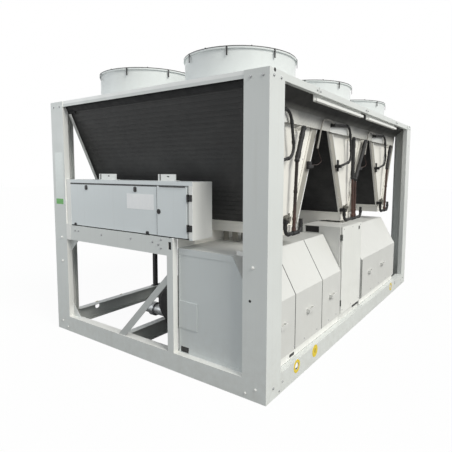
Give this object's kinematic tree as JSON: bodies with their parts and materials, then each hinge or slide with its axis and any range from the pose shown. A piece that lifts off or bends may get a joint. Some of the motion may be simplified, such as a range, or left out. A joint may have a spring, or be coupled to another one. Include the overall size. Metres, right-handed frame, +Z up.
{
  "type": "air cooled water chiller",
  "caption": "Roof or ground standing air cooled chiller: steel frame, V shaped coils under roof fans, side compressor enclosures, end control box and a low evaporator.",
  "frame": {"origin": "bottom centre of the machine, on the ground it stands on", "axes": "+Z up, +X towards the compressor side, -Y towards the end with the control box"},
  "size_m": [2.253, 3.604, 2.297],
  "materials": {
    "frame_paint": "satin light grey powder coat",
    "panel_paint": "satin pale grey powder coat",
    "box_paint": "satin light grey powder coat",
    "coil_paint": "satin cream grey sheet",
    "plenum_sheet": "dull grey galvanised sheet",
    "coil_core": "black coated fins and tubes",
    "roof_paint": "satin pale grey powder coat",
    "black_steel": "black coated steel",
    "fan_plastic": "dark grey moulded plastic",
    "hinge_black": "black zinc and plastic",
    "pipe_insulation": "black foam insulation",
    "copper_pipe": "dull brown copper",
    "water_steel": "grey steel pipe"
  },
  "bodies": {
    "frame": {"corner_posts": "frame_paint", "base_end_rails": "frame_paint", "base_side_rails": "frame_paint", "base_inner_beams": "frame_paint", "base_cross_beams": "frame_paint", "top_end_rails": "frame_paint", "top_side_rails": "frame_paint", "side_lintels": "panel_paint", "mid_posts": "frame_paint", "mid_beams": "frame_paint", "diagonal_braces": "frame_paint", "left_mid_rail": "frame_paint", "left_props": "black_steel", "corner_gussets": "frame_paint", "coil_trays": "coil_paint", "tray_feet": "black_steel", "tray_wall": "coil_paint", "plenum_skirts": "plenum_sheet", "coil_frames_1": "coil_paint", "coil_frames_2": "coil_paint", "coil_frames_3": "coil_paint", "coil_cores_1": "coil_core", "coil_cores_2": "coil_core", "coil_cores_3": "coil_core", "end_panels_right": "coil_paint", "end_panels_left": "coil_paint", "fan_decks": "roof_paint", "deck_ledges": "frame_paint", "fan_stacks": "roof_paint", "fan_motors": "black_steel", "fan_rotors": "fan_plastic", "fan_guards": "black_steel", "front_enclosure": "panel_paint", "front_panels": "panel_paint", "front_end_panel": "frame_paint", "rear_enclosure": "panel_paint", "rear_panels": "panel_paint", "panel_handles": "panel_paint", "cabinet": "panel_paint", "cabinet_hinges": "hinge_black", "control_box": "box_paint", "control_cover": "box_paint", "control_hinges": "hinge_black", "control_brackets": "box_paint", "gas_loops": "pipe_insulation", "risers": "copper_pipe", "evaporator": "pipe_insulation", "evaporator_saddles": "frame_paint", "water_pipes": "water_steel"},
    "cabinet_door": {"cabinet_door": "panel_paint"},
    "control_door": {"control_door": "box_paint"}
  },
  "joints": [
    {"name": "cabinet_door_hinge", "type": "hinge", "parent": "frame", "child": "cabinet_door", "pos_m": [1.0965, -0.4831, 0.6], "axis": [0, 0, -1], "range_deg": [0, 110]},
    {"name": "control_door_hinge", "type": "hinge", "parent": "frame", "child": "control_door", "pos_m": [0.483, -1.795, 1.16], "axis": [0, 0, 1], "range_deg": [0, 110]}
  ]
}
